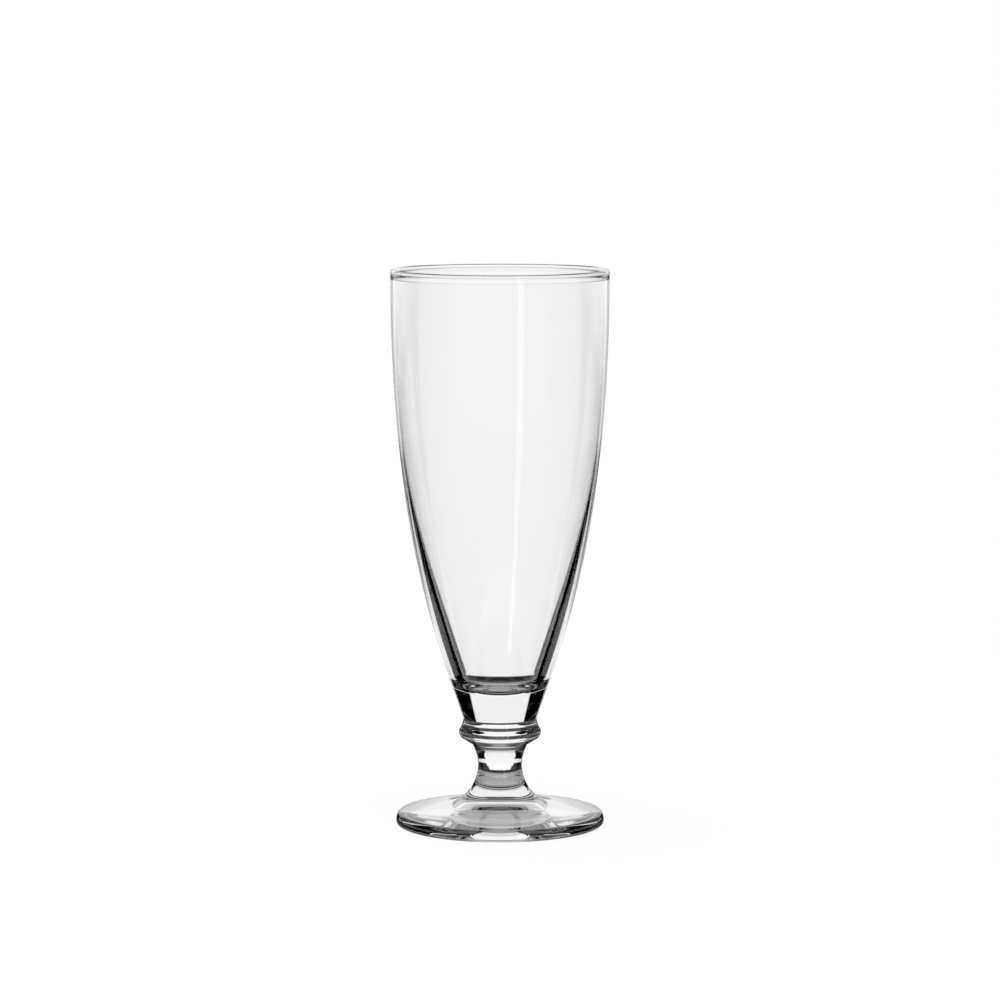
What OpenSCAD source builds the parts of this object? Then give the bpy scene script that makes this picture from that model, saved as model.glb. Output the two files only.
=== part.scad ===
// Pilsner glass: a tall slender bowl on a short pressed stem with a collar and a round foot.
// Every piece is turned about the Z axis. The table is at z = 0 and the glass stands on its foot.
// Each piece is hot-fused to the next one over a full flat disc, so the two faces share one width.

/* [Foot] */
// Width of the foot
foot_d = 71.9; // [60:0.1:90]
// Height of the foot at its middle, up to where the stem is fused on
foot_h = 8.9; // [7:0.1:10]
// Thickness of the foot just inside its rounded edge
foot_edge_h = 4.2; // [3:0.1:5]
// Radius of the foot's lower edge
foot_under_r = 1.3; // [0.5:0.1:1.5]
// Width of the soft shoulder on the foot's upper edge
foot_shoulder_w = 1.3; // [1:0.1:3]
// Slope of the foot's upper face
foot_slope = 6.7; // [3:0.1:8]
// Width of the hollow under the middle of the foot, inside the flat ring that the glass rests on
hollow_d = 29.7; // [20:0.1:50]
// Rise of the hollow
hollow_rise = 3.2; // [0.5:0.1:4]

/* [Stem] */
// Height of the waisted stem
stem_h = 19; // [16:0.1:30]
// Width of the stem where it is fused to the foot
stem_foot_d = 27.3; // [24:0.1:30]
// Width of the stem at its waist
waist_d = 15.3; // [11:0.1:17]
// Height of the waist above the foot's joint
waist_at = 11.5; // [9:0.1:13]
// Width of the stem where it is fused to the collar
stem_top_d = 19.3; // [18:0.1:22]

/* [Collar] */
// Height of the collar
collar_h = 9.2; // [8:0.1:12]
// Width of the collar at its rounded nose
collar_d = 28.4; // [27:0.1:32]
// Radius of the collar's nose
collar_nose_r = 2.5; // [1.5:0.1:2.8]
// Height of the nose above the stem's joint
collar_nose_at = 4.2; // [3.5:0.1:4.5]
// Lean of the collar's underside
collar_under_lean = 58; // [45:1:65]
// Lean where the nose turns up into the neck of the collar
collar_over_lean = 39; // [35:1:60]

/* [Stem head] */
// Height of the solid head between collar and bowl
head_h = 7.3; // [5:0.1:12]
// Width of the head where it is fused to the collar
head_collar_d = 25.5; // [23:0.1:26]
// Width of the head where it is fused to the bowl
head_bowl_d = 30.5; // [28:0.1:34]

/* [Bowl] */
// Height of the bowl from its joint to the rim
bowl_h = 147.6; // [120:0.1:180]
// Width of the bowl at the rim
rim_d = 75; // [68:0.1:84]
// Wall at the rim
rim_wall = 1.2; // [1:0.1:1.8]
// Wall just above the floor of the bowl
floor_wall = 4.9; // [3:0.1:5.5]
// Glass under the middle of the bowl's floor
floor_t = 2.6; // [2:0.1:8]
// Depth of the dish in the bowl's floor
floor_dish = 2.9; // [1:0.1:3.5]
// Radius between the bowl's floor and its wall
floor_corner_r = 2.7; // [1:0.1:3.5]
// How far the rounded bead stands out at the rim
rim_bead = 0.2; // [0.1:0.05:0.4]

/* [Hidden] */
$fn = 144;
glass = [0.86, 0.87, 0.91];
clearness = 0.45;

// Heights of the joints above the table
z_stem = foot_h;
z_collar = z_stem + stem_h;
z_head = z_collar + collar_h;
z_bowl = z_head + head_h;

// Points in each curved stretch of an outline
long_steps = 28;
short_steps = 10;
// Handle length that makes a cubic curve follow a quarter circle, as a share of its radius
round_share = 0.552;

// Handles of the curve from the joint to the rim, as shares of the bowl's height
bowl_low_share = 0.135;
bowl_high_share = 0.586;
// Share of the height above the floor over which the wall thins
thinning_share = 0.62;
// Handles of the foot's upper face, as shares of its width from joint to shoulder
foot_flare_share = 0.235;
foot_flat_share = 0.41;
// Handles of the collar's neck, as shares of its height from nose to top
neck_low_share = 0.3;
neck_high_share = 0.33;

function polar(d, a) = d * [cos(a), sin(a)];
function arc(c, r, a0, a1, n) = [for (i = [0:n]) c + polar(r, a0 + (a1 - a0) * i / n)];
function cubic(p, t) =
    let (s = 1 - t)
    s * s * s * p[0] + 3 * s * s * t * p[1] + 3 * s * t * t * p[2] + t * t * t * p[3];
function curve(p, n, t0 = 0, t1 = 1) = [for (i = [0:n]) cubic(p, t0 + (t1 - t0) * i / n)];
// Place along a rising curve at which it reaches height z, found by halving
function place_at(p, z, lo = 0, hi = 1, k = 24) =
    let (mid = (lo + hi) / 2)
    k == 0 ? mid : cubic(p, mid).y < z ? place_at(p, z, mid, hi, k - 1) : place_at(p, z, lo, mid, k - 1);
// Radius of the arc that leaves the waist upright and ends w wider after height h
function waist_arc_r(h, w) = (h * h + w * w) / (2 * w);

// Turned solid from half an outline, given as [radius, height] points
module turned(outline) {
    rotate_extrude() polygon(outline);
}

// Round foot with a hollow under its middle, resting on the flat ring around it
module foot() {
    r = foot_d / 2;
    joint_r = stem_foot_d / 2;
    rest_out_r = r - foot_under_r;
    flare_r = waist_arc_r(waist_at, joint_r - waist_d / 2);
    flare_lean = asin(waist_at / flare_r);
    shoulder = [r - foot_shoulder_w, foot_edge_h];
    reach = shoulder.x - joint_r;
    hollow = [for (i = [0:long_steps]) let (s = i / long_steps)
        [hollow_d / 2 * s, hollow_rise * (1 - s * s)]];
    lower_edge = arc([rest_out_r, foot_under_r], foot_under_r, -90, 0, short_steps);
    rise = foot_edge_h - foot_under_r;
    upper_edge = curve([
        [r, foot_under_r],
        [r, foot_under_r + rise * round_share],
        shoulder + polar(foot_shoulder_w * round_share, -foot_slope),
        shoulder
    ], short_steps);
    upper_face = curve([
        shoulder,
        shoulder + polar(reach * foot_flat_share, 180 - foot_slope),
        [joint_r, foot_h] + polar(reach * foot_flare_share, flare_lean - 90),
        [joint_r, foot_h]
    ], long_steps);
    color(glass, clearness)
        turned(concat(hollow, lower_edge, upper_edge, upper_face, [[0, foot_h]]));
}

// Solid waisted stem, two arcs that meet upright at the waist
module stem() {
    r = waist_d / 2;
    below_r = waist_arc_r(waist_at, stem_foot_d / 2 - r);
    above_h = stem_h - waist_at;
    above_r = waist_arc_r(above_h, stem_top_d / 2 - r);
    below = arc([r + below_r, waist_at], below_r, 180 + asin(waist_at / below_r), 180, long_steps);
    above = arc([r + above_r, waist_at], above_r, 180, 180 - asin(above_h / above_r), long_steps);
    color(glass, clearness)
        translate([0, 0, z_stem])
        turned(concat([[0, 0]], below, above, [[0, stem_h]]));
}

// Collar with a rounded nose, a sloping underside and a neck that turns up to the head
module collar() {
    joint_r = stem_top_d / 2;
    top_r = head_collar_d / 2;
    centre = [collar_d / 2 - collar_nose_r, collar_nose_at];
    nose = arc(centre, collar_nose_r, -collar_under_lean, collar_over_lean, long_steps);
    nose_end = centre + polar(collar_nose_r, collar_over_lean);
    neck_h = collar_h - nose_end.y;
    neck = curve([
        nose_end,
        nose_end + polar(neck_h * neck_low_share, 90 + collar_over_lean),
        [top_r, collar_h - neck_h * neck_high_share],
        [top_r, collar_h]
    ], short_steps);
    color(glass, clearness)
        translate([0, 0, z_collar])
        turned(concat([[0, 0], [joint_r, 0]], nose, neck, [[0, collar_h]]));
}

// Solid taper that carries the bowl
module stem_head() {
    color(glass, clearness)
        translate([0, 0, z_head])
        turned([[0, 0], [head_collar_d / 2, 0], [head_bowl_d / 2, head_h], [0, head_h]]);
}

// Drawn bowl: a thin wall that thickens down to a heavy dished floor, with a fire-rounded rim
module bowl() {
    joint_r = head_bowl_d / 2;
    rim_r = rim_d / 2;
    lean = atan((head_bowl_d - head_collar_d) / 2 / head_h);
    bead_r = rim_wall / 2 + rim_bead;
    bead_turn = acos(rim_wall / 2 / bead_r);
    bead = [rim_r - rim_wall / 2, bowl_h - bead_r];
    wall_top = bead.y - bead_r * sin(bead_turn);
    outside = [
        [joint_r, 0],
        [joint_r, 0] + polar(bowl_h * bowl_low_share, 90 - lean),
        [rim_r, wall_top - bowl_h * bowl_high_share],
        [rim_r, wall_top]
    ];
    floor_edge = floor_t + floor_dish;
    thinning_h = (wall_top - floor_edge) * thinning_share;
    function wall_at(z) =
        rim_wall + (floor_wall - rim_wall) * (1 + cos(180 * min(1, (z - floor_edge) / thinning_h))) / 2;
    function inside(t) = let (p = cubic(outside, t)) [p.x - wall_at(p.y), p.y];
    edge_r = inside(place_at(outside, floor_edge)).x;
    function dish_at(r) = [r, floor_t + floor_dish * pow(r / edge_r, 2)];
    corner_place = place_at(outside, floor_edge + floor_corner_r);
    wall_end = inside(corner_place);
    dish_end = dish_at(edge_r - floor_corner_r);
    corner_tip = [edge_r, floor_edge];
    inner_wall = [for (i = [long_steps:-1:1]) inside(corner_place + (1 - corner_place) * i / long_steps)];
    corner = curve([
        wall_end,
        wall_end + (corner_tip - wall_end) * round_share,
        dish_end + (corner_tip - dish_end) * round_share,
        dish_end
    ], short_steps);
    dish = [for (i = [short_steps - 1:-1:0]) dish_at(dish_end.x * i / short_steps)];
    lip = arc(bead, bead_r, -bead_turn, 180 + bead_turn, long_steps);
    color(glass, clearness)
        translate([0, 0, z_bowl])
        turned(concat([[0, 0]], curve(outside, long_steps), lip, inner_wall, corner, dish));
}

foot();
stem();
collar();
stem_head();
bowl();
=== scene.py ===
import math

import bpy
from bpy.props import FloatProperty, IntProperty, PointerProperty
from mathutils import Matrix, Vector


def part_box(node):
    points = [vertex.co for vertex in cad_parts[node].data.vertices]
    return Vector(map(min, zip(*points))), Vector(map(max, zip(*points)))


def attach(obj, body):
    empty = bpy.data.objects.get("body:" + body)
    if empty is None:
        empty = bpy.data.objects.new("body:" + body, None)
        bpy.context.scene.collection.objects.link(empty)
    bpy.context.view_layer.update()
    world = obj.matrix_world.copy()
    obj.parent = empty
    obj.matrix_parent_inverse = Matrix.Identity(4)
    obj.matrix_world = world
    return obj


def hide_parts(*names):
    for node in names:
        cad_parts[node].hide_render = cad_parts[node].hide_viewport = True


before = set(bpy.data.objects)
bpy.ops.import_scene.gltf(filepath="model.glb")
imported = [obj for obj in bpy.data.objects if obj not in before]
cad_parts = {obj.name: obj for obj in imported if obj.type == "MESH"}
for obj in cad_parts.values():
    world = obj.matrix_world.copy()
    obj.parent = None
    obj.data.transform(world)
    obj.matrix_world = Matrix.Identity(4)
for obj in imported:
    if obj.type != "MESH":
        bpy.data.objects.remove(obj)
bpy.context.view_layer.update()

bl_info = {
    "name": "Pilsner glass",
    "version": (1, 0, 0),
    "blender": (4, 5, 0),
    "location": "View3D > Sidebar > Glass",
    "description": "Turns a footed pilsner glass from its sizes and sets it up in a small white studio",
    "category": "Add Mesh",
}

# Handle length that makes a cubic curve follow a quarter circle, as a share of its radius
ROUND_SHARE = 0.552
# Air left between two fused faces, so that each piece stays a closed solid of its own
FUSED_GAP = 2e-6
# A point closer than this to the axis or to a level counts as lying on it
NEAR = 1e-6
# How often a stretch is halved to find a place along a curve
HALVINGS = 40
# Points along each stretch of the outlines
HOLLOW_STEPS = 64
EDGE_STEPS = 32
SHOULDER_STEPS = 48
UPPER_FACE_STEPS = 128
ROUND_STEPS = 96
NECK_STEPS = 64
STRAIGHT_STEPS = 12
WALL_STEPS = 104
FLOOR_STEPS = 48


def disc_width(node, at_top):
    """Width of the flat disc at a CAD node's top or bottom, in metres."""
    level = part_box(node)[1 if at_top else 0].z
    rings = [v.co.xy.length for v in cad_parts[node].data.vertices if abs(v.co.z - level) < NEAR]
    return 2 * max(rings)


def node_width(node):
    """Width of a CAD node, in metres."""
    low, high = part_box(node)
    return high.x - low.x


def node_height(node):
    """Height of a CAD node, in metres."""
    low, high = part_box(node)
    return high.z - low.z


def size(name, description, default):
    """A length in metres, shown in the panel."""
    return FloatProperty(name=name, description=description, default=default, unit="LENGTH", precision=4)


def share(name, description, default):
    """A share between 0 and 1, shown in the panel."""
    return FloatProperty(name=name, description=description, default=default, min=0, max=1, subtype="FACTOR")


def angle(name, description, degrees):
    """An angle with its default in degrees, shown in the panel."""
    return FloatProperty(name=name, description=description, default=math.radians(degrees), unit="ROTATION")


class FootSizes(bpy.types.PropertyGroup):
    """Sizes of the foot"""

    width: size("Width", "Width of the foot", node_width("foot"))
    height: size("Height", "Height of the foot at its joint to the stem", node_height("foot"))
    edge_height: size("Edge height", "Thickness of the foot just inside its rounded edge", 0.0042)
    under_radius: size("Under radius", "Radius of the foot's lower edge", 0.0013)
    shoulder_width: size("Shoulder width", "Width of the soft shoulder on the upper edge", 0.0013)
    slope: angle("Slope", "Slope of the foot's upper face", 6.7)
    hollow_width: size("Hollow width", "Width of the hollow under the middle of the foot", 0.0297)
    hollow_rise: size("Hollow rise", "Rise of the hollow under the middle of the foot", 0.0032)
    flare_share: share("Flare handle", "Handle at the joint, as a share of the upper face", 0.235)
    flat_share: share("Flat handle", "Handle at the shoulder, as a share of the upper face", 0.41)


class StemSizes(bpy.types.PropertyGroup):
    """Sizes of the stem"""

    foot_width: size("Foot joint", "Width where the stem is fused to the foot", disc_width("stem", False))
    top_width: size("Collar joint", "Width where the stem is fused to the collar", disc_width("stem", True))
    waist_width: size("Waist", "Width of the stem at its waist", 0.0153)
    waist_height: size("Waist height", "Height of the waist above the foot's joint", 0.0115)


class CollarSizes(bpy.types.PropertyGroup):
    """Sizes of the collar"""

    width: size("Width", "Width of the collar at its nose", node_width("collar"))
    nose_radius: size("Nose radius", "Radius of the collar's nose", 0.0025)
    nose_height: size("Nose height", "Height of the nose above the stem's joint", 0.0042)
    under_lean: angle("Under lean", "Lean of the collar's underside", 58)
    over_lean: angle("Over lean", "Lean where the nose turns up into the neck", 39)
    neck_low_share: share("Low handle", "Handle at the nose, as a share of the neck's height", 0.3)
    neck_high_share: share("High handle", "Handle at the top, as a share of the neck's height", 0.33)


class HeadSizes(bpy.types.PropertyGroup):
    """Sizes of the stem head"""

    collar_width: size("Collar joint", "Width where the head is fused to the collar",
                       disc_width("stem_head", False))
    bowl_width: size("Bowl joint", "Width where the head is fused to the bowl", disc_width("stem_head", True))


class BowlSizes(bpy.types.PropertyGroup):
    """Sizes of the bowl"""

    rim_width: size("Rim", "Width of the bowl at the rim", 0.075)
    rim_wall: size("Rim wall", "Wall at the rim", 0.0012)
    floor_wall: size("Floor wall", "Wall just above the floor", 0.0049)
    floor_thickness: size("Floor", "Glass under the middle of the floor", 0.0026)
    floor_dish: size("Dish", "Depth of the dish in the floor", 0.0029)
    corner_radius: size("Corner", "Radius between floor and wall", 0.0027)
    bead: size("Bead", "How far the rounded bead stands out at the rim", 0.0002)
    low_share: share("Low handle", "Handle at the joint, as a share of the bowl's height", 0.135)
    high_share: share("High handle", "Handle at the rim, as a share of the bowl's height", 0.586)
    thinning_share: share("Thinning", "Share of the height over which the wall thins", 0.62)


class GlassFinish(bpy.types.PropertyGroup):
    """The glass and its surface"""

    ior: FloatProperty(name="Refraction", description="Index of refraction of the glass", default=1.51)
    segments: IntProperty(name="Segments", description="Segments round each piece", default=288)
    wave_length: size("Wave length", "Width of the faint waves in the pressed surface", 0.02)
    wave_depth: size("Wave depth", "Depth of the waves", 0.00001)
    wave_stretch: FloatProperty(
        name="Wave stretch", description="How much longer the waves are upwards", default=4)


class StudioLook(bpy.types.PropertyGroup):
    """The camera, the light and the floor"""

    lens: FloatProperty(name="Lens", description="Focal length in millimetres", default=145.06)
    camera_distance: size("Camera distance", "From the glass's axis to the camera, over the floor", 1.3764)
    camera_height: size("Camera height", "Height of the camera over the floor", 0.26654)
    camera_pitch: angle("Camera pitch", "How far the camera looks down", 6.3797)
    strip_azimuth: angle("Strip light azimuth", "Where the strip light stands, from the camera's side", 23.5)
    strip_width: angle("Strip light width", "Width of the strip light seen from the glass", 7)
    strip_level: FloatProperty(name="Strip light", description="Brightness of the strip light", default=2.2)
    floor_white: FloatProperty(
        name="Floor white", description="Brightness of the floor to the eye", default=0.9)
    floor_shade: FloatProperty(
        name="Floor shade", description="How much light and shadow show on it", default=0.115)


def polar(length, direction):
    """A step of a length in a direction given in radians."""
    return Vector((length * math.cos(direction), length * math.sin(direction)))


def arc(centre, radius, start, end, steps):
    """Points along an arc, with its start and end given in radians."""
    return [centre + polar(radius, start + (end - start) * i / steps) for i in range(steps + 1)]


def cubic(handles, t):
    """The point at a place from 0 to 1 along a cubic curve."""
    s = 1 - t
    a, b, c, d = handles
    return a * s**3 + b * (3 * s * s * t) + c * (3 * s * t * t) + d * t**3


def curve(handles, steps):
    """Points along a cubic curve."""
    return [cubic(handles, i / steps) for i in range(steps + 1)]


def place_at(handles, height):
    """Place along a rising curve at which it reaches a height, found by halving."""
    low, high = 0.0, 1.0
    for _ in range(HALVINGS):
        middle = (low + high) / 2
        if cubic(handles, middle).y < height:
            low = middle
        else:
            high = middle
    return (low + high) / 2


def waist_arc_radius(height, widening):
    """Radius of the arc that leaves the waist upright and ends wider by widening after height."""
    return (height**2 + widening**2) / (2 * widening)


def turned(node, outline, z, fused):
    """A closed round piece turned from half an outline of (radius, height) points, from axis to axis.

    It stands for a CAD node. fused lists the stretches of the outline, by index, that are joints to the
    next piece.
    """
    count = bpy.context.scene.glass_finish.segments
    turns = [(math.cos(math.tau * k / count), math.sin(math.tau * k / count)) for k in range(count)]
    verts, rings = [], []
    for p in outline:
        start = len(verts)
        if p.x < NEAR:
            verts.append((0, 0, z + p.y))
            rings.append([start] * count)
        else:
            verts.extend((p.x * c, p.x * s, z + p.y) for c, s in turns)
            rings.append(list(range(start, start + count)))
    faces, joints = [], []
    for i, (low, high) in enumerate(zip(rings, rings[1:])):
        for k in range(count):
            n = (k + 1) % count
            corners = [low[k], low[n], high[n], high[k]]
            corners = [v for j, v in enumerate(corners) if v != corners[j - 1]]
            faces.append(corners)
            joints.append(i in fused)
    name = f"{node}_glass"
    mesh = bpy.data.meshes.new(name)
    mesh.from_pydata(verts, [], faces)
    for m in (clear_glass(), fused_joint()):
        mesh.materials.append(m)
    mesh.polygons.foreach_set("material_index", [1 if j else 0 for j in joints])
    mesh.polygons.foreach_set("use_smooth", [not j for j in joints])
    mesh.update()
    bounded = {k for p in mesh.polygons if p.material_index == 1 for k in p.edge_keys}
    walled = {k for p in mesh.polygons if p.material_index == 0 for k in p.edge_keys}
    for e in mesh.edges:
        e.use_edge_sharp = e.key in bounded and e.key in walled
    piece = bpy.data.objects.new(name, mesh)
    bpy.context.scene.collection.objects.link(piece)
    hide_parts(node)
    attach(piece, "root")
    return piece


def clear_glass():
    """Clear polished glass, whose surface has the faint upright waves of drawn glass."""
    if "polished_glass" in bpy.data.materials:
        return bpy.data.materials["polished_glass"]
    material = bpy.data.materials.new("polished_glass")
    material.use_nodes = True
    finish = bpy.context.scene.glass_finish
    nodes, links = material.node_tree.nodes, material.node_tree.links
    shader = nodes["Principled BSDF"]
    shader.inputs["Base Color"].default_value = (1, 1, 1, 1)
    shader.inputs["Roughness"].default_value = 0
    shader.inputs["IOR"].default_value = finish.ior
    shader.inputs["Transmission Weight"].default_value = 1
    place = nodes.new("ShaderNodeTexCoord")
    stretch = nodes.new("ShaderNodeMapping")
    stretch.inputs["Scale"].default_value = (1, 1, 1 / finish.wave_stretch)
    waves = nodes.new("ShaderNodeTexNoise")
    waves.inputs["Scale"].default_value = 1 / finish.wave_length
    waves.inputs["Detail"].default_value = 1
    relief = nodes.new("ShaderNodeBump")
    relief.inputs["Distance"].default_value = finish.wave_depth
    links.new(place.outputs["Object"], stretch.inputs["Vector"])
    links.new(stretch.outputs["Vector"], waves.inputs["Vector"])
    links.new(waves.outputs["Fac"], relief.inputs["Height"])
    links.new(relief.outputs["Normal"], shader.inputs["Normal"])
    return material


def fused_joint():
    """The face between two fused pieces, which light passes as if it weren't there."""
    if "fused_joint" in bpy.data.materials:
        return bpy.data.materials["fused_joint"]
    material = bpy.data.materials.new("fused_joint")
    material.use_nodes = True
    tree = material.node_tree
    tree.nodes.remove(tree.nodes["Principled BSDF"])
    clear = tree.nodes.new("ShaderNodeBsdfTransparent")
    tree.links.new(clear.outputs["BSDF"], tree.nodes["Material Output"].inputs["Surface"])
    return material


class GLASS_OT_foot(bpy.types.Operator):
    """Turn the foot"""

    bl_idname = "glass.foot"
    bl_label = "Foot"

    def execute(self, context):
        f, stem = context.scene.foot_sizes, context.scene.stem_sizes
        height = f.height
        r, joint_r = f.width / 2, stem.foot_width / 2
        rest_out = r - f.under_radius
        flare_radius = waist_arc_radius(stem.waist_height, joint_r - stem.waist_width / 2)
        flare_lean = math.asin(stem.waist_height / flare_radius)
        shoulder = Vector((r - f.shoulder_width, f.edge_height))
        reach = shoulder.x - joint_r
        rise = f.edge_height - f.under_radius
        hollow = []
        for i in range(HOLLOW_STEPS + 1):
            out = i / HOLLOW_STEPS
            hollow.append(Vector((f.hollow_width / 2 * out, f.hollow_rise * (1 - out**2))))
        lower_edge = arc(Vector((rest_out, f.under_radius)), f.under_radius, -math.pi / 2, 0, EDGE_STEPS)
        upper_edge = curve([
            Vector((r, f.under_radius)),
            Vector((r, f.under_radius + rise * ROUND_SHARE)),
            shoulder + polar(f.shoulder_width * ROUND_SHARE, -f.slope),
            shoulder,
        ], SHOULDER_STEPS)
        joint = Vector((joint_r, height - FUSED_GAP))
        upper_face = curve([
            shoulder,
            shoulder + polar(reach * f.flat_share, math.pi - f.slope),
            joint + polar(reach * f.flare_share, flare_lean - math.pi / 2),
            joint,
        ], UPPER_FACE_STEPS)
        outline = hollow + lower_edge + upper_edge[1:] + upper_face[1:] + [Vector((0, joint.y))]
        turned("foot", outline, 0, {len(outline) - 2})
        return {"FINISHED"}


class GLASS_OT_stem(bpy.types.Operator):
    """Turn the waisted stem"""

    bl_idname = "glass.stem"
    bl_label = "Stem"

    def execute(self, context):
        s = context.scene.stem_sizes
        z = context.scene.foot_sizes.height
        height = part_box("stem")[1].z - z - FUSED_GAP
        r = s.waist_width / 2
        below_r = waist_arc_radius(s.waist_height, s.foot_width / 2 - r)
        above_h = height - s.waist_height
        above_r = waist_arc_radius(above_h, s.top_width / 2 - r)
        below = arc(Vector((r + below_r, s.waist_height)), below_r,
                    math.pi + math.asin(s.waist_height / below_r), math.pi, ROUND_STEPS)
        above = arc(Vector((r + above_r, s.waist_height)), above_r,
                    math.pi, math.pi - math.asin(above_h / above_r), ROUND_STEPS)
        outline = [Vector((0, 0))] + below + above[1:] + [Vector((0, height))]
        turned("stem", outline, z, {0, len(outline) - 2})
        return {"FINISHED"}


class GLASS_OT_collar(bpy.types.Operator):
    """Turn the collar"""

    bl_idname = "glass.collar"
    bl_label = "Collar"

    def execute(self, context):
        c = context.scene.collar_sizes
        height = node_height("collar") - FUSED_GAP
        joint_r = context.scene.stem_sizes.top_width / 2
        top_r = context.scene.head_sizes.collar_width / 2
        centre = Vector((c.width / 2 - c.nose_radius, c.nose_height))
        nose = arc(centre, c.nose_radius, -c.under_lean, c.over_lean, ROUND_STEPS)
        neck_h = height - nose[-1].y
        neck = curve([
            nose[-1],
            nose[-1] + polar(neck_h * c.neck_low_share, math.pi / 2 + c.over_lean),
            Vector((top_r, height - neck_h * c.neck_high_share)),
            Vector((top_r, height)),
        ], NECK_STEPS)
        under = [Vector((joint_r, 0)).lerp(nose[0], i / STRAIGHT_STEPS) for i in range(STRAIGHT_STEPS)]
        outline = [Vector((0, 0))] + under + nose + neck[1:] + [Vector((0, height))]
        turned("collar", outline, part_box("collar")[0].z, {0, len(outline) - 2})
        return {"FINISHED"}


class GLASS_OT_stem_head(bpy.types.Operator):
    """Turn the solid head that carries the bowl"""

    bl_idname = "glass.stem_head"
    bl_label = "Stem head"

    def execute(self, context):
        h = context.scene.head_sizes
        height = node_height("stem_head") - FUSED_GAP
        low, high = Vector((h.collar_width / 2, 0)), Vector((h.bowl_width / 2, height))
        side = [low.lerp(high, i / STRAIGHT_STEPS) for i in range(STRAIGHT_STEPS + 1)]
        outline = [Vector((0, 0))] + side + [Vector((0, height))]
        turned("stem_head", outline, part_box("stem_head")[0].z, {0, len(outline) - 2})
        return {"FINISHED"}


class GLASS_OT_bowl(bpy.types.Operator):
    """Turn the bowl"""

    bl_idname = "glass.bowl"
    bl_label = "Bowl"

    def execute(self, context):
        b, head = context.scene.bowl_sizes, context.scene.head_sizes
        height = node_height("bowl")
        joint_r, rim_r = head.bowl_width / 2, b.rim_width / 2
        lean = math.atan((head.bowl_width - head.collar_width) / 2 / node_height("stem_head"))
        low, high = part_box("bowl")
        widest = min(high.x, high.y, -low.x, -low.y)
        bead_r = min(b.rim_wall / 2 + b.bead, widest - rim_r + b.rim_wall / 2)
        bead_turn = math.acos(b.rim_wall / 2 / bead_r)
        bead = Vector((rim_r - b.rim_wall / 2, height - bead_r))
        wall_top = bead.y - bead_r * math.sin(bead_turn)
        outside = [
            Vector((joint_r, 0)),
            Vector((joint_r, 0)) + polar(height * b.low_share, math.pi / 2 - lean),
            Vector((rim_r, wall_top - height * b.high_share)),
            Vector((rim_r, wall_top)),
        ]
        floor_edge = b.floor_thickness + b.floor_dish
        thinning_h = (wall_top - floor_edge) * b.thinning_share

        def wall_at(level):
            turn = math.pi * min(1, (level - floor_edge) / thinning_h)
            return b.rim_wall + (b.floor_wall - b.rim_wall) * (1 + math.cos(turn)) / 2

        def inside(t):
            p = cubic(outside, t)
            return Vector((p.x - wall_at(p.y), p.y))

        edge_r = inside(place_at(outside, floor_edge)).x

        def dish_at(radius):
            return Vector((radius, b.floor_thickness + b.floor_dish * (radius / edge_r) ** 2))

        corner_place = place_at(outside, floor_edge + b.corner_radius)
        wall_end = inside(corner_place)
        dish_end = dish_at(edge_r - b.corner_radius)
        corner_tip = Vector((edge_r, floor_edge))
        inner_wall = [
            inside(corner_place + (1 - corner_place) * i / WALL_STEPS) for i in range(WALL_STEPS - 1, 0, -1)
        ]
        corner = curve([
            wall_end,
            wall_end.lerp(corner_tip, ROUND_SHARE),
            dish_end.lerp(corner_tip, ROUND_SHARE),
            dish_end,
        ], FLOOR_STEPS)
        dish = [dish_at(dish_end.x * i / FLOOR_STEPS) for i in range(FLOOR_STEPS - 1, -1, -1)]
        lip = arc(bead, bead_r, -bead_turn, math.pi + bead_turn, EDGE_STEPS)
        outline = [Vector((0, 0))] + curve(outside, WALL_STEPS) + lip[1:] + inner_wall + corner + dish
        turned("bowl", outline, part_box("bowl")[0].z, {0})
        return {"FINISHED"}


# The room as the glass shows it, in angles from the camera's line of sight, the same to the left and right.
# Azimuth 0 is straight behind the glass and 180 is the camera. Each patch has its name, its azimuth from and
# to, its elevation from and to, and its level, where 1 is white. This room is seen through the glass.
SEEN_THROUGH = [
    ("sweep_near", 0, 19, -17, -8, 1.0),
    ("sweep", 0, 21, -8, -4, 1.0),
    ("backdrop_low", 0, 25, -4, 0, 1.0),
    ("backdrop", 0, 28, 0, 12, 1.0),
    ("backdrop_high", 0, 30, 12, 24, 0.95),
    ("backdrop_top", 0, 29, 24, 38, 0.7),
    ("ceiling_behind", 0, 50, 38, 60, 0.38),
    ("ceiling", 0, 180, 60, 90, 0.17),
    ("room_beside", 28, 60, 1.0, 9, 0.9),
    ("paper_behind", 0, 22, -47, -32, 1.0),
    ("paper_round", 0, 110, -90, -47, 0.9),
    ("paper_front", 110, 180, -90, -50, 0.6),
    ("room_front", 120, 180, -22, 0, 0.15),
]
# This room is mirrored by the outer faces of the glass
MIRRORED = [
    ("sweep_near", 0, 40, -12, -8, 0.85),
    ("sweep", 0, 33, -8, -5, 0.9),
    ("sweep_far", 0, 21, -5, -2, 0.95),
    ("backdrop_foot", 0, 12, -2, 3, 0.35),
    ("backdrop", 0, 16, 3, 12, 1.0),
    ("backdrop_high", 0, 30, 12, 36, 0.95),
    ("ceiling_behind", 0, 30, 36, 60, 0.7),
    ("ceiling", 0, 180, 60, 90, 0.2),
    ("room_beside", 27, 110, -2, 6, 1.0),
    ("room_front", 80, 180, -45, -3, 0.8),
    ("room_front_high", 110, 180, 6, 36, 0.6),
    ("room_low", 0, 180, -90, -45, 0.1),
]
# Distance from the glass's axis and how bright the floor looks there from inside the glass: painted shade,
# dim grey under the foot and black in a ring round it, while the eye sees the floor white
TABLE_OF_PAINTED_SHADE = [(0, 0.36), (0.02, 0.4), (0.031, 0.34), (0.038, 0.08), (0.05, 0.0), (0.065, 0.0)]
# Half the width of a patch's soft edge, in degrees
SOFT_EDGE = 0.8
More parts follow.
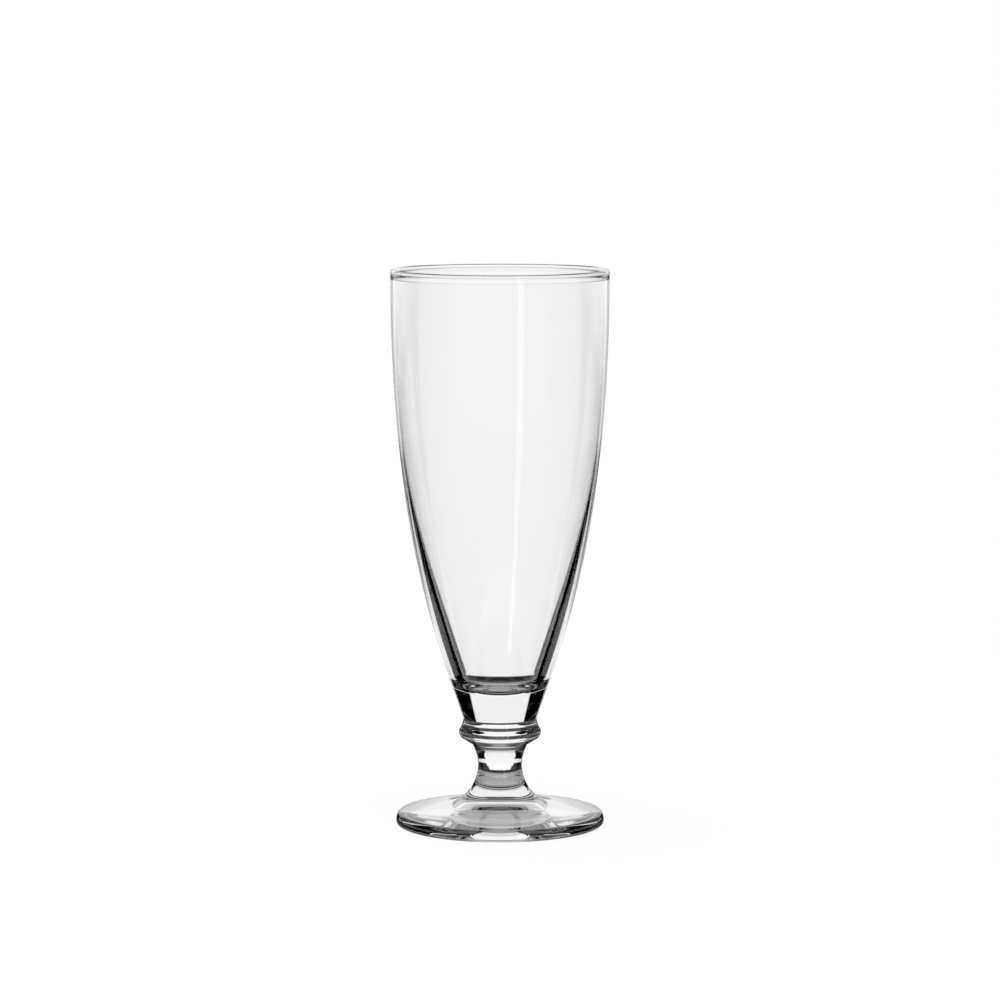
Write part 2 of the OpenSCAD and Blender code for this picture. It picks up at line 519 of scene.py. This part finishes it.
# Share of each colour in the room's greys
GREY_TINT = (1.0, 0.92, 1.01)
# Further out in degrees than any direction, for a patch that goes on past the last one
BEYOND = 999
# From this level on a screen is left open, so that the white backdrop shows
NEARLY_WHITE = 0.999
# Distances of the screens from the camera, in metres, and the size of their faces, in degrees
SEEN_THROUGH_DISTANCE = 30
MIRRORED_DISTANCE = 31
STRIP_DISTANCE = 28
SCREEN_STEP = 1
# Lowest and highest point of the strip light, in degrees
STRIP_HEIGHTS = (-50, 20)
# The floor, in metres, and how finely it is divided
FLOOR_RADIUS = 0.6
FLOOR_GAP = 0.0001
FLOOR_SEGMENTS = 96
TABLE_RINGS = 100
# Where the floor turns clear past the disc of painted shade, as a share of that disc's radius
TABLE_END = 1.001
# Name, direction and strength of each soft lamp, and how wide they look, in degrees
LAMPS = [("overhead_lamp", (-0.2, 0.1, 1), 2.4), ("front_lamp", (0.3, -1, 0.9), 1.2)]
LAMP_SPREAD = 70
# The camera's sensor in millimetres, and how far it sees in metres
SENSOR_WIDTH = 36
CAMERA_REACH = 100


def between(rows, place):
    """The value of a table of (place, value) rows at a place."""
    for low, high in zip(rows, rows[1:]):
        if place <= high[0]:
            part = max(0, (place - low[0]) / (high[0] - low[0]))
            return low[1] + (high[1] - low[1]) * part
    return rows[-1][1]


def soft_span(place, low, high):
    """1 between low and high, 0 outside, and a soft edge at each end."""
    def step(distance):
        part = min(1, max(0, (distance + SOFT_EDGE) / (2 * SOFT_EDGE)))
        return part * part * (3 - 2 * part)
    return step(place - low) * step(high - place)


def room_level(patches, azimuth, elevation):
    """Brightness of the room in one direction, in degrees."""
    turn = abs(azimuth)
    level = 0
    for _, a0, a1, e0, e1, strength in patches:
        a0, a1 = (-BEYOND if a0 == 0 else a0), (BEYOND if a1 == 180 else a1)
        e0, e1 = (-BEYOND if e0 == -90 else e0), (BEYOND if e1 == 90 else e1)
        level += strength * soft_span(turn, a0, a1) * soft_span(elevation, e0, e1)
    return min(1, level)


def grey(level):
    """The colour of a level: the greys of the room are a little purple, and white is white."""
    return [level * (tint + (1 - tint) * level) for tint in GREY_TINT] + [1]


def glow(name):
    """A material that gives the light of the mesh's own colour."""
    material = bpy.data.materials.new(name)
    material.use_nodes = True
    tree = material.node_tree
    tree.nodes.remove(tree.nodes["Principled BSDF"])
    light = tree.nodes.new("ShaderNodeEmission")
    colour = tree.nodes.new("ShaderNodeAttribute")
    colour.attribute_name = "glow"
    tree.links.new(colour.outputs["Color"], light.inputs["Color"])
    tree.links.new(light.outputs["Emission"], tree.nodes["Material Output"].inputs["Surface"])
    material.cycles.emission_sampling = "NONE"
    return material


def stage_mesh(name, verts, faces, colours, material):
    """A piece of the stage, with the colour that it glows in at each of its points."""
    mesh = bpy.data.meshes.new(name)
    mesh.from_pydata(verts, [], faces)
    glowing = mesh.attributes.new("glow", "FLOAT_COLOR", "POINT")
    glowing.data.foreach_set("color", [c for colour in colours for c in colour])
    mesh.materials.append(material)
    o = bpy.data.objects.new(name, mesh)
    bpy.context.scene.collection.objects.link(o)
    return o


def bent_screen(name, camera, distance, azimuths, elevations, level, material):
    """A screen round the glass that stands with the camera and is seen only in the glass.

    level gives its brightness by azimuth and elevation. Where that is white, the screen is open.
    """
    columns, rows = (round((span[1] - span[0]) / SCREEN_STEP) for span in (azimuths, elevations))
    verts, levels = [], []
    for j in range(rows + 1):
        elevation = elevations[0] + (elevations[1] - elevations[0]) * j / rows
        e = math.radians(elevation)
        for i in range(columns + 1):
            azimuth = azimuths[0] + (azimuths[1] - azimuths[0]) * i / columns
            a = math.radians(azimuth)
            level_here = level(azimuth, elevation)
            levels.append(level_here)
            away = distance * math.cos(e)
            verts.append((away * math.sin(a), distance * math.sin(e), -away * math.cos(a)))
    faces = []
    for j in range(rows):
        for i in range(columns):
            k = j * (columns + 1) + i
            corners = (k, k + 1, k + columns + 2, k + columns + 1)
            if min(levels[c] for c in corners) < NEARLY_WHITE or max(levels[c] for c in corners) > 1:
                faces.append(corners)
    o = stage_mesh(name, verts, faces, [grey(v) for v in levels], material)
    o.parent = camera
    o.visible_camera = False
    o.visible_shadow = False
    o.visible_diffuse = False
    return o


def floor_material():
    """White to the eye with a faint shadow; in the glass it glows with painted shade, dim under the foot and
    black round it, and is clear further out.
    """
    look = bpy.context.scene.studio_look
    material = bpy.data.materials.new("pale_floor")
    material.use_nodes = True
    tree = material.node_tree
    nodes, links = tree.nodes, tree.links
    nodes.remove(nodes["Principled BSDF"])
    paper = nodes.new("ShaderNodeBsdfDiffuse")
    paper.inputs["Color"].default_value = (look.floor_shade, look.floor_shade, look.floor_shade, 1)
    white = nodes.new("ShaderNodeEmission")
    white.inputs["Strength"].default_value = look.floor_white
    eye = nodes.new("ShaderNodeAddShader")
    links.new(paper.outputs["BSDF"], eye.inputs[0])
    links.new(white.outputs["Emission"], eye.inputs[1])
    colour = nodes.new("ShaderNodeAttribute")
    colour.attribute_name = "glow"
    # Painted shade: seen in the glass, the floor glows in the greys of the painted shade instead of taking
    # light
    table = nodes.new("ShaderNodeEmission")
    links.new(colour.outputs["Color"], table.inputs["Color"])
    open_air = nodes.new("ShaderNodeBsdfTransparent")
    in_glass = nodes.new("ShaderNodeMixShader")
    links.new(colour.outputs["Alpha"], in_glass.inputs["Fac"])
    links.new(open_air.outputs["BSDF"], in_glass.inputs[1])
    links.new(table.outputs["Emission"], in_glass.inputs[2])
    path = nodes.new("ShaderNodeLightPath")
    seen = nodes.new("ShaderNodeMixShader")
    links.new(path.outputs["Is Camera Ray"], seen.inputs["Fac"])
    links.new(in_glass.outputs["Shader"], seen.inputs[1])
    links.new(eye.outputs["Shader"], seen.inputs[2])
    links.new(seen.outputs["Shader"], nodes["Material Output"].inputs["Surface"])
    material.cycles.emission_sampling = "NONE"
    return material


def pale_floor():
    """A round floor just under the glass, whose points carry the painted shade that the glass shows."""
    table_edge = TABLE_OF_PAINTED_SHADE[-1][0]
    count = FLOOR_SEGMENTS
    radii = [table_edge * i / TABLE_RINGS for i in range(1, TABLE_RINGS + 1)]
    radii += [table_edge * TABLE_END, FLOOR_RADIUS]
    # Painted shade: the grey that each ring of the floor glows in when it is seen in the glass
    verts, colours = [(0, 0, -FLOOR_GAP)], [grey(TABLE_OF_PAINTED_SHADE[0][1])]
    for r in radii:
        here = grey(between(TABLE_OF_PAINTED_SHADE, r))
        here[3] = 1 if r <= table_edge else 0
        for k in range(count):
            a = math.tau * k / count
            verts.append((r * math.cos(a), r * math.sin(a), -FLOOR_GAP))
            colours.append(here)
    faces = [(0, 1 + k, 1 + (k + 1) % count) for k in range(count)]
    for ring in range(len(radii) - 1):
        inner = 1 + ring * count
        for k in range(count):
            n = (k + 1) % count
            faces.append((inner + k, inner + count + k, inner + count + n, inner + n))
    return stage_mesh("pale_floor", verts, faces, colours, floor_material())


def soft_lamp(name, direction, strength):
    """A large soft lamp that lights the floor and isn't seen in the glass."""
    data = bpy.data.lights.new(name, "SUN")
    data.energy = strength
    data.angle = math.radians(LAMP_SPREAD)
    lamp = bpy.data.objects.new(name, data)
    lamp.rotation_euler = Vector(direction).to_track_quat("Z", "Y").to_euler()
    lamp.visible_glossy = False
    lamp.visible_transmission = False
    bpy.context.scene.collection.objects.link(lamp)
    return lamp


class GLASS_OT_stage(bpy.types.Operator):
    """Set up the floor, the white background, the room that shows in the glass, the lamps and the camera"""

    bl_idname = "glass.stage"
    bl_label = "Studio"

    def execute(self, context):
        scene, s = context.scene, context.scene.studio_look
        scene.view_settings.view_transform = "Standard"
        scene.cycles.max_bounces = 32
        scene.cycles.transmission_bounces = 32
        scene.cycles.glossy_bounces = 16
        scene.cycles.transparent_max_bounces = 32
        scene.cycles.diffuse_bounces = 0

        data = bpy.data.cameras.new("camera")
        data.lens = s.lens
        data.sensor_width = SENSOR_WIDTH
        data.clip_end = CAMERA_REACH
        camera = bpy.data.objects.new("camera", data)
        camera.location = (0, -s.camera_distance, s.camera_height)
        camera.rotation_euler = (math.pi / 2 - s.camera_pitch, 0, 0)
        scene.collection.objects.link(camera)
        scene.camera = camera

        material = glow("room_glow")
        whole, height = (-180, 180), (-90, 90)
        through = bent_screen("room_seen_through", camera, SEEN_THROUGH_DISTANCE, whole, height,
                              lambda a, e: room_level(SEEN_THROUGH, a, e), material)
        through.visible_glossy = False
        mirrored = bent_screen("room_mirrored", camera, MIRRORED_DISTANCE, whole, height,
                               lambda a, e: room_level(MIRRORED, a, e), material)
        mirrored.visible_transmission = False
        strip = 180 - math.degrees(s.strip_azimuth)
        half = math.degrees(s.strip_width) / 2
        light = bent_screen("strip_light", camera, STRIP_DISTANCE, (strip - half, strip + half),
                            STRIP_HEIGHTS, lambda a, e: s.strip_level, material)
        light.visible_transmission = False
        pale_floor()
        for name, direction, strength in LAMPS:
            soft_lamp(name, direction, strength)

        world = bpy.data.worlds.new("white_backdrop")
        scene.world = world
        world.use_nodes = True
        tree = world.node_tree
        path = tree.nodes.new("ShaderNodeLightPath")
        seen = tree.nodes.new("ShaderNodeMath")
        seen.operation = "ADD"
        shown = tree.nodes.new("ShaderNodeMath")
        shown.operation = "ADD"
        shown.use_clamp = True
        tree.links.new(path.outputs["Is Camera Ray"], seen.inputs[0])
        tree.links.new(path.outputs["Is Glossy Ray"], seen.inputs[1])
        tree.links.new(seen.outputs[0], shown.inputs[0])
        tree.links.new(path.outputs["Is Transmission Ray"], shown.inputs[1])
        tree.links.new(shown.outputs[0], tree.nodes["Background"].inputs["Strength"])
        tree.nodes["Background"].inputs["Color"].default_value = (1, 1, 1, 1)
        return {"FINISHED"}


class GLASS_PT_panel(bpy.types.Panel):
    """Pilsner glass pieces and their sizes"""

    bl_label = "Pilsner glass"
    bl_idname = "GLASS_PT_panel"
    bl_space_type = "VIEW_3D"
    bl_region_type = "UI"
    bl_category = "Glass"

    def draw(self, context):
        for group, operator in PIECES:
            box = self.layout.box()
            box.operator(operator)
            settings = getattr(context.scene, group)
            for name in settings.__annotations__:
                box.prop(settings, name)
        box = self.layout.box()
        finish = context.scene.glass_finish
        for name in finish.__annotations__:
            box.prop(finish, name)


GROUPS = {
    "foot_sizes": FootSizes,
    "stem_sizes": StemSizes,
    "collar_sizes": CollarSizes,
    "head_sizes": HeadSizes,
    "bowl_sizes": BowlSizes,
    "glass_finish": GlassFinish,
    "studio_look": StudioLook,
}
PIECES = [
    ("foot_sizes", "glass.foot"),
    ("stem_sizes", "glass.stem"),
    ("collar_sizes", "glass.collar"),
    ("head_sizes", "glass.stem_head"),
    ("bowl_sizes", "glass.bowl"),
    ("studio_look", "glass.stage"),
]
CLASSES = [
    *GROUPS.values(), GLASS_OT_foot, GLASS_OT_stem, GLASS_OT_collar, GLASS_OT_stem_head, GLASS_OT_bowl,
    GLASS_OT_stage, GLASS_PT_panel,
]


def register():
    """Register the classes and hang their settings on the scene."""
    for c in CLASSES:
        bpy.utils.register_class(c)
    for name, group in GROUPS.items():
        setattr(bpy.types.Scene, name, PointerProperty(type=group))


def unregister():
    """Take the settings and the classes away again."""
    for name in GROUPS:
        delattr(bpy.types.Scene, name)
    for c in reversed(CLASSES):
        bpy.utils.unregister_class(c)


def main():
    """Register the classes and make every piece and the studio."""
    register()
    for _, operator in PIECES:
        category, name = operator.split(".")
        getattr(getattr(bpy.ops, category), name)()


if __name__ == "__main__":
    main()
